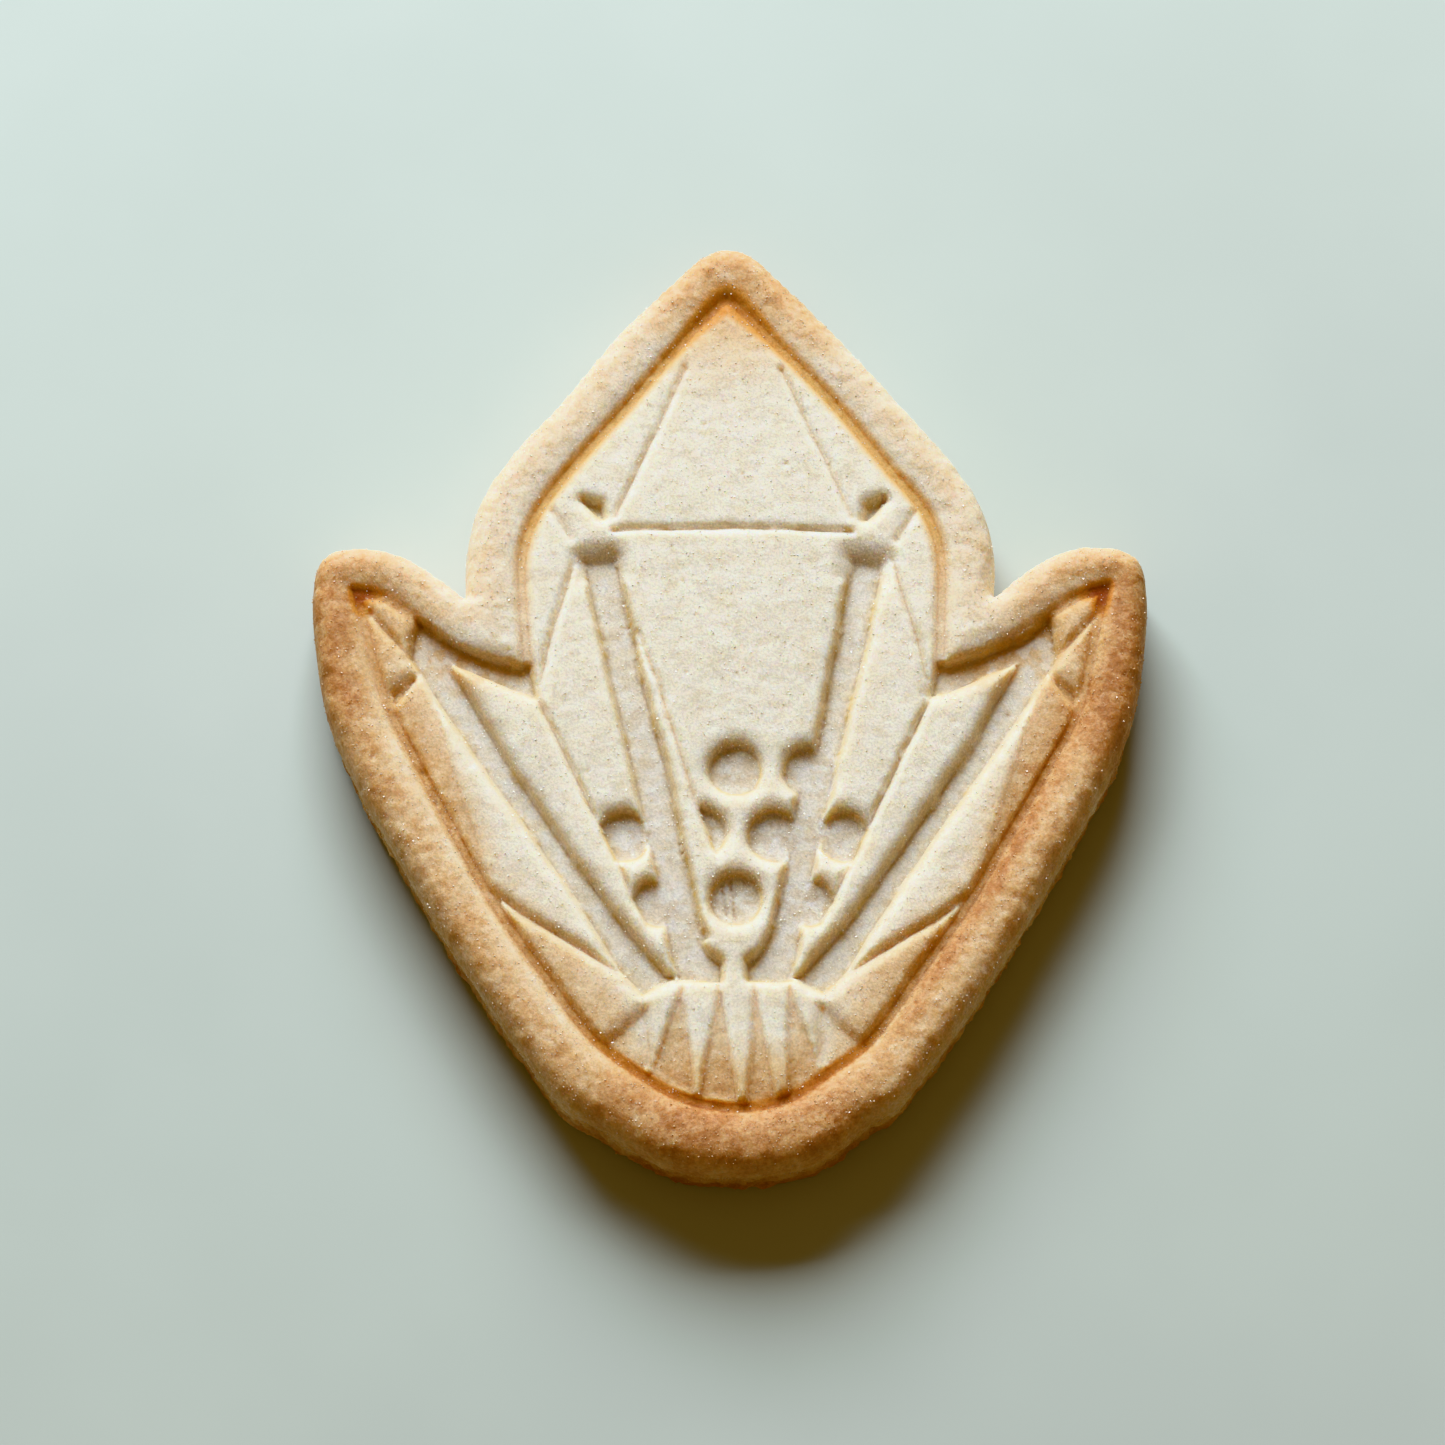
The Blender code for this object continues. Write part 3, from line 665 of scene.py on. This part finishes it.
def browning(plan, outline, groove):
    """How browned the top is at each plan point, from 0 to 1."""
    on_rim = rim_browning(plan, outline, groove)
    return np.where(groove < 0, on_rim, face_browning(plan, groove))


def groove_browning_and_shade(plan, groove):
    """Extra browning and painted shade along the groove, darkest at its corners and its foot."""
    y = plan[:, 1]
    strength = (GROOVE_TOAST_AND_SHADE + COB_GROOVE_TOAST_AND_SHADE * step_up(y, 8.0, 22.0)
                + FOOT_GROOVE_TOAST_AND_SHADE * step_up(-y, 27.0, 34.0))
    towards_tip = spot(plan, *TIP_GROOVE_SPOT) ** TIP_GROOVE_FADE
    strength = np.maximum(strength, TIP_GROOVE_TOAST_AND_SHADE * towards_tip)
    for spot_x, spot_y, inner, reach, most in GROOVE_SPOTS:
        strength = np.maximum(strength, most * spot(plan, spot_x, spot_y, inner, reach))
    half = (GROOVE_BROWN_HALF + COB_BROWN_WIDER * step_up(y, -10.0, 5.0)
            + TIP_BROWN_WIDER * spot(plan, *TIP_WIDER_SPOT))
    return strength * (1 - step_up(np.abs(groove - GROOVE_BROWN_LINE) / half, 0.2, 1.0))


def painted_crease_shade(plan, height):
    """Painted shade, up to 1 in narrow hollows. By a dimple only its floor's rise to the edge
    counts.
    """
    crease_shade = np.clip(sunken(plan, height, CREASE_REACH) / CREASE_DEPTH, 0, 1)
    dished = np.clip((FULL - figure_depth(plan)) / DISH_RISE, 0, 1)
    by_dimple = outside_dimples(plan)
    crease_shade *= step_up(np.abs(by_dimple), 0.3, 0.9)
    return crease_shade + DIMPLE_FOOT_SHADE * dished * (by_dimple < 0.1)


def floor_tint_and_shade(plan, height):
    """Greyish tint, partly the floors' own colour and partly painted shade: 1 on the dimples'
    floors, less on the channels', 0 on the face.
    """
    floor = 1 - step_up(height - FLOOR, 0.1, 0.4)
    return floor * (FLOOR_SHARE + (1 - FLOOR_SHARE) * (outside_dimples(plan) < 0))


def cookie_skin(name):
    """The fine skin, with what its material needs at every vertex."""
    ring = closed_curve([COB, LEAVES], GRID)
    inner = feature_points(GRID) + staggered_grid(ring, GRID)
    inner = spaced_inside(ring, inner, CLOSEST * GRID)
    plan = np.vstack([ring, inner])
    count = len(ring)
    outline = -outside_of(plan, closed_curve([COB, LEAVES], CURVE_GRID))
    outline[:count] = 0.0
    groove = -outside_of(plan, closed_curve(GROOVE, CURVE_GRID))
    height = top_heights(plan, outline, groove)
    height[:count] = SHOULDER_Z
    points = [np.column_stack([plan, height])]
    inside_rim = step_up(groove, -0.5, 0.3)
    # crease and steep values carry painted shade; groove and floor values carry painted shade in
    # part
    looks = {"toast": [browning(plan, outline, groove)],
             "groove": [groove_browning_and_shade(plan, groove)],
             "crease_shade": [painted_crease_shade(plan, height) * inside_rim],
             "floor": [floor_tint_and_shade(plan, height) * inside_rim],
             "foot": [np.zeros(len(plan))]}
    faces = triangles_inside(ring, inner)

    above, total = 0, len(plan)
    edge_toast = looks["toast"][0][:count]
    for z, inset in wall_profile():
        lower = inset_ring(ring, inset)
        points.append(np.column_stack([lower, np.full(count, z)]))
        down = 1 - z / SHOULDER_Z
        looks["toast"].append(edge_toast + WALL_TOAST * step_up(down, 0.0, 0.5))
        looks["foot"].append(np.full(count, down))
        for i in range(count):
            j = (i + 1) % count
            faces.append((above + i, total + i, total + j, above + j))
        above, total = total, total + count
    rows = len(wall_profile())
    out = np.vstack([as_space(outward(ring))] * (rows + 1))
    wall = np.vstack([points[0][:count]] + points[1:])
    push = uneven(wall, WALL_BULGE, 6) + uneven(wall, WALL_LUMPS, 7, octaves=3) - WALL_SETTLED
    at_shoulder, at_base = ROWS_TO_FULL
    shares = [min(1.0, row / at_shoulder, (rows - row) / at_base) for row in range(rows + 1)]
    keep = np.repeat(shares, count)
    wall += out * (push * keep)[:, None]
    points = [points[0], wall[count:]]

    under = spaced_inside(lower, staggered_grid(lower, BASE_GRID), CLOSEST * BASE_GRID)
    points.append(as_space(under))
    looks["toast"].append(np.full(len(under), BASE_TOAST))
    looks["foot"].append(np.ones(len(under)))
    faces += [tuple(above + i for i in face[::-1]) for face in triangles_inside(lower, under)]
    points = np.vstack(points)
    for key in ("groove", "crease_shade", "floor"):
        looks[key].append(np.zeros(len(points) - len(plan)))
    points[:, :2] -= plan_middle()
    mesh = bpy.data.meshes.new(name)
    mesh.from_pydata(points * MM, [], faces)
    for key, parts in looks.items():
        mesh.attributes.new(key, "FLOAT", "POINT").data.foreach_set("value", np.concatenate(parts))
    mesh.shade_smooth()
    normals = np.empty(len(points) * 3)
    mesh.vertex_normals.foreach_get("vector", normals)
    # painted shade: steep walls get an amber tint, as if in shade
    steep_shade = step_up(1 - normals[2::3], *STEEP_RANGE)
    steep_shade[:len(plan)] *= inside_rim
    steep_shade[len(plan):] = 0
    mesh.attributes.new("steep_shade", "FLOAT", "POINT").data.foreach_set("value", steep_shade)
    return mesh


def plan_middle():
    """The plan point that is the frame's origin: the middle of the outline's box."""
    ring = closed_curve([COB, LEAVES], GRID)
    return (ring.min(axis=0) + ring.max(axis=0)) / 2


def placed(name, mesh, material):
    """An object of the cookie's: it rides on its body and takes its finish."""
    piece = bpy.data.objects.new(name, mesh)
    bpy.context.scene.collection.objects.link(piece)
    mesh.materials.append(material)
    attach(piece, "root")
    return piece


# --- sugar --------------------------------------------------------------------


def crystal(size):
    """Corners of one sugar crystal: a small box with uneven corners."""
    corners = np.array([(a, b, c) for a in (-1, 1) for b in (-1, 1) for c in (-1, 1)], float)
    corners *= size / 2 * rng.uniform(0.6, 1.0, 3)
    corners += rng.uniform(-0.12, 0.12, corners.shape) * size
    turn, _ = np.linalg.qr(rng.normal(size=(3, 3)))
    return corners @ turn


def sugar_mesh(name, skin):
    """Sugar crystals sunk a little way into the top and the rim."""
    count = len(skin.vertices)
    where = np.empty(count * 3)
    skin.vertices.foreach_get("co", where)
    where = where.reshape(-1, 3) / MM
    normals = np.empty(count * 3)
    skin.vertex_normals.foreach_get("vector", normals)
    normals = normals.reshape(-1, 3)
    toast = np.empty(count)
    skin.attributes["toast"].data.foreach_get("value", toast)
    chance = (0.6 + 0.6 * toast) * step_up(where[:, 2], 1.0, 7.0)
    chosen = rng.choice(count, CRYSTALS, replace=False, p=chance / chance.sum())
    points, faces = [], []
    for i, number in enumerate(chosen):
        size = rng.uniform(*CRYSTAL_SIZES)
        points.append(where[number] + normals[number] * size * CRYSTAL_RAISED + crystal(size))
        faces += [tuple(8 * i + corner for corner in face) for face in CRYSTAL_FACES]
    mesh = bpy.data.meshes.new(name)
    mesh.from_pydata(np.vstack(points) * MM, [], faces)
    under = mesh.attributes.new("toast", "FLOAT", "POINT")
    under.data.foreach_set("value", np.repeat(toast[chosen], 8))
    return mesh


# --- materials ----------------------------------------------------------------


class Nodes:
    """Short names for the nodes that the materials are built from."""

    def __init__(self, name):
        self.material = bpy.data.materials.new(name)
        self.material.use_nodes = True
        self.tree = self.material.node_tree
        self.shader = self.tree.nodes["Principled BSDF"]

    def link(self, source, target):
        self.tree.links.new(source, target)

    def plug(self, node, values):
        """Each value is a number or colour, or the output that feeds the socket."""
        for key, value in values.items():
            socket = node.inputs[key]
            if isinstance(value, bpy.types.NodeSocket):
                self.link(value, socket)
            else:
                socket.default_value = value

    def attribute(self, name):
        node = self.tree.nodes.new("ShaderNodeAttribute")
        node.attribute_name = name
        return node.outputs["Fac"]

    def place(self):
        return self.tree.nodes.new("ShaderNodeTexCoord").outputs["Object"]

    def noise(self, size, detail=3.0, rough=0.55):
        """Noise from 0 to 1 with swells of the given size in millimetres."""
        node = self.tree.nodes.new("ShaderNodeTexNoise")
        self.plug(node, {"Vector": self.place(), "Scale": 1 / (size * MM),
                         "Detail": detail, "Roughness": rough})
        return node.outputs["Fac"]

    def spread(self, value, low, high, to_low=0.0, to_high=1.0):
        """The value's range from low to high, stretched smoothly to another range."""
        node = self.tree.nodes.new("ShaderNodeMapRange")
        node.interpolation_type = "SMOOTHSTEP"
        self.plug(node, {"Value": value, "From Min": low, "From Max": high,
                         "To Min": to_low, "To Max": to_high})
        return node.outputs["Result"]

    def math(self, operation, *values):
        node = self.tree.nodes.new("ShaderNodeMath")
        node.operation = operation
        self.plug(node, dict(enumerate(values)))
        return node.outputs[0]

    def mix(self, factor, first, second, kind="MIX"):
        node = self.tree.nodes.new("ShaderNodeMix")
        node.data_type = "RGBA"
        node.blend_type = kind
        self.plug(node, {0: factor, 6: first, 7: second})
        return node.outputs[2]

    def ramp(self, value, stops):
        """A colour for the value, from (position, colour) stops."""
        node = self.tree.nodes.new("ShaderNodeValToRGB")
        elements = node.color_ramp.elements
        while len(elements) < len(stops):
            elements.new(0.5)
        for element, (position, colour) in zip(elements, stops):
            element.position = position
            element.color = colour
        self.link(value, node.inputs["Fac"])
        return node.outputs["Color"]

    def bump(self, height, distance, strength, normal=None):
        node = self.tree.nodes.new("ShaderNodeBump")
        values = {"Height": height, "Distance": distance * MM, "Strength": strength}
        if normal is not None:
            values["Normal"] = normal
        self.plug(node, values)
        return node.outputs["Normal"]


def srgb(red, green, blue):
    """A colour from its 0 to 255 screen values."""
    values = [c / 255 for c in (red, green, blue)]
    return tuple(c / 12.92 if c < 0.04 else ((c + 0.055) / 1.055) ** 2.4 for c in values) + (1.0,)


CREAM = srgb(239, 232, 218)
CREAM_SHADE = srgb(240, 232, 214)
PALE_GOLD = srgb(235, 211, 176)
GOLD = srgb(219, 180, 132)
BROWN = srgb(203, 152, 102)
DEEP_BROWN = srgb(188, 133, 84)
# the floors' greyish tint: partly their own colour, partly painted shade, strongest in the dimples
FLOOR_GREY_AND_SHADE = srgb(234, 227, 222)
FLOOR_WHITE = srgb(229, 225, 219)
# painted shade: the amber that steep walls and narrow hollows are multiplied by
PAINTED_SHADE_AMBER = srgb(240, 214, 148)
# the groove's colours: partly browning, partly painted shade in its crevice
GROOVE_PINK = srgb(246, 208, 146)
GROOVE_GOLD = srgb(218, 164, 92)
GROOVE_DARK = srgb(184, 104, 10)
WHITE = srgb(255, 255, 255)
# Colours as (browning, colour): the crust's, and what the groove's browning and painted shade tint
# it by.
TOAST_COLOURS = [(0.0, CREAM), (0.22, PALE_GOLD), (0.5, GOLD), (0.8, BROWN),
                 (1.0, DEEP_BROWN)]
GROOVE_BROWN_AND_SHADE_COLOURS = [(0.0, WHITE), (0.35, GROOVE_PINK), (0.7, GROOVE_GOLD),
                  (1.0, GROOVE_DARK)]
SUGAR_WHITE, SUGAR_BROWN = srgb(252, 249, 240), srgb(214, 172, 118)
TABLE_DARK, TABLE_LIGHT = srgb(196, 206, 200), srgb(200, 210, 204)


def dough_material():
    """Baked dough: cream to deep brown by its browning, with painted shade in hollows, on steep
    walls, on floors and in the groove; soft and slightly translucent.
    """
    n = Nodes("baked dough")
    mottle = n.noise(1.8, 4.0, 0.65)
    grain = n.noise(0.5, 3.0, 0.6)
    toast = n.attribute("toast")
    mottled = n.math("MULTIPLY", toast, n.spread(mottle, 0.3, 0.7, 0.7, 1.2))
    grained = n.math("MULTIPLY", toast, n.spread(grain, 0.3, 0.7, -0.15, 0.15))
    crust = n.ramp(n.math("ADD", mottled, grained), TOAST_COLOURS)
    cloudy = n.spread(n.noise(2.0, 4.0, 0.6), 0.35, 0.75, 0.0, 0.6)
    crust = n.mix(cloudy, crust, CREAM_SHADE, "MULTIPLY")
    # the floors are greyed: partly their own colour, partly painted shade
    floor = n.attribute("floor")
    crust = n.mix(floor, crust, FLOOR_GREY_AND_SHADE, "MULTIPLY")
    patchy = n.spread(n.noise(1.4, 2.0, 0.5), 0.44, 0.58, 0.0, 0.7)
    crust = n.mix(n.math("MULTIPLY", floor, patchy), crust, FLOOR_WHITE)
    # painted shade: steep walls and narrow hollows are tinted amber, and so is the edge of each
    # dimple's floor
    steep_shade = n.math("MULTIPLY", n.attribute("steep_shade"), 0.5)
    crease_shade = n.math("MULTIPLY", n.attribute("crease_shade"), 0.5)
    painted_amber_shade = n.math("MINIMUM", n.math("ADD", steep_shade, crease_shade), 1.0)
    crust = n.mix(painted_amber_shade, crust, PAINTED_SHADE_AMBER, "MULTIPLY")
    # the groove: partly browning, partly painted shade in its crevice
    groove_stain_and_shade = n.ramp(n.attribute("groove"), GROOVE_BROWN_AND_SHADE_COLOURS)
    crust = n.mix(1.0, crust, groove_stain_and_shade, "MULTIPLY")
    foot = n.spread(n.attribute("foot"), 0.15, 0.9, 0.0, 0.8)
    crust = n.mix(foot, crust, BROWN, "MULTIPLY")
    flecks = n.spread(n.noise(0.22, 2.0, 0.6), 0.35, 0.65, 0.9, 1.08)
    crust = n.mix(1.0, crust, flecks, "MULTIPLY")
    fine = n.bump(n.noise(0.22, 2.0, 0.6), 0.06, 0.8)
    coarse = n.bump(n.noise(0.7, 3.0, 0.5), 0.09, 0.6, fine)
    coarse = n.bump(n.noise(0.9, 3.0, 0.6), 0.16, n.spread(toast, 0.15, 0.6, 0.0, 0.8), coarse)
    n.plug(n.shader, {"Base Color": crust, "Roughness": n.spread(grain, 0.3, 0.7, 0.55, 0.8),
                      "Normal": coarse, "Specular IOR Level": 0.35,
                      "Subsurface Weight": 1.0, "Subsurface Radius": (1.0, 0.75, 0.4),
                      "Subsurface Scale": 2.0 * MM})
    return n.material


def sugar_material():
    """Glossy crystals that take some of the colour they lie on."""
    n = Nodes("sugar")
    colour = n.mix(n.attribute("toast"), SUGAR_WHITE, SUGAR_BROWN)
    n.plug(n.shader, {"Base Color": colour, "Roughness": 0.12,
                      "Specular IOR Level": 0.8})
    return n.material


def floor_material():
    n = Nodes("pale floor")
    shade = n.spread(n.noise(40.0), 0.3, 0.7)
    colour = n.mix(shade, TABLE_DARK, TABLE_LIGHT)
    n.plug(n.shader, {"Base Color": colour, "Roughness": 0.7})
    return n.material


# --- camera, light and floor ----------------------------------------------------


def add_floor():
    mesh = bpy.data.meshes.new("floor")
    half = FLOOR_SIZE / 2 * MM
    corners = [(-half, -half, 0), (half, -half, 0), (half, half, 0), (-half, half, 0)]
    mesh.from_pydata(corners, [], [(0, 1, 2, 3)])
    mesh.materials.append(floor_material())
    floor = bpy.data.objects.new("floor", mesh)
    bpy.context.scene.collection.objects.link(floor)


def aimed(thing, place, target):
    """Puts a camera or a light at a place, facing a target, both in millimetres."""
    thing.location = Vector(place) * MM
    thing.rotation_euler = (Vector(target) - Vector(place)).to_track_quat("-Z", "Y").to_euler()
    bpy.context.scene.collection.objects.link(thing)


def add_camera():
    data = bpy.data.cameras.new("camera")
    data.lens = CAMERA_LENS
    data.sensor_width = CAMERA_SENSOR
    data.clip_start = 0.01
    camera = bpy.data.objects.new("camera", data)
    x, y = np.array(AIM[:2]) - plan_middle()
    angle = math.radians(CAMERA_ELEVATION)
    back = Vector((0, -math.cos(angle), math.sin(angle))) * CAMERA_DISTANCE
    target = Vector((x, y, AIM[2]))
    aimed(camera, target + back, target)
    bpy.context.scene.camera = camera


def add_light(name, place, size, watts, colour):
    """A flat rectangular light, size wide and high, that faces the cookie."""
    data = bpy.data.lights.new(name, "AREA")
    data.shape = "RECTANGLE"
    data.size = size[0] * MM
    data.size_y = size[1] * MM
    data.energy = watts
    data.color = colour
    aimed(bpy.data.objects.new(name, data), place, (0, 0, 0))


def add_world():
    """An even warm light from all around, which warms the shade on the dough."""
    world = bpy.data.worlds.new("studio")
    world.use_nodes = True
    background = world.node_tree.nodes["Background"]
    background.inputs["Color"].default_value = WORLD_COLOUR
    background.inputs["Strength"].default_value = WORLD_STRENGTH
    bpy.context.scene.world = world


add_camera()
add_floor()
for light in LIGHTS:
    add_light(*light)
add_world()
bpy.context.scene.view_settings.view_transform = "Khronos PBR Neutral"

cookie = placed("cookie_skin", cookie_skin("cookie_skin"), dough_material())
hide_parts("cookie")
placed("sugar_crystals", sugar_mesh("sugar_crystals", cookie.data), sugar_material())
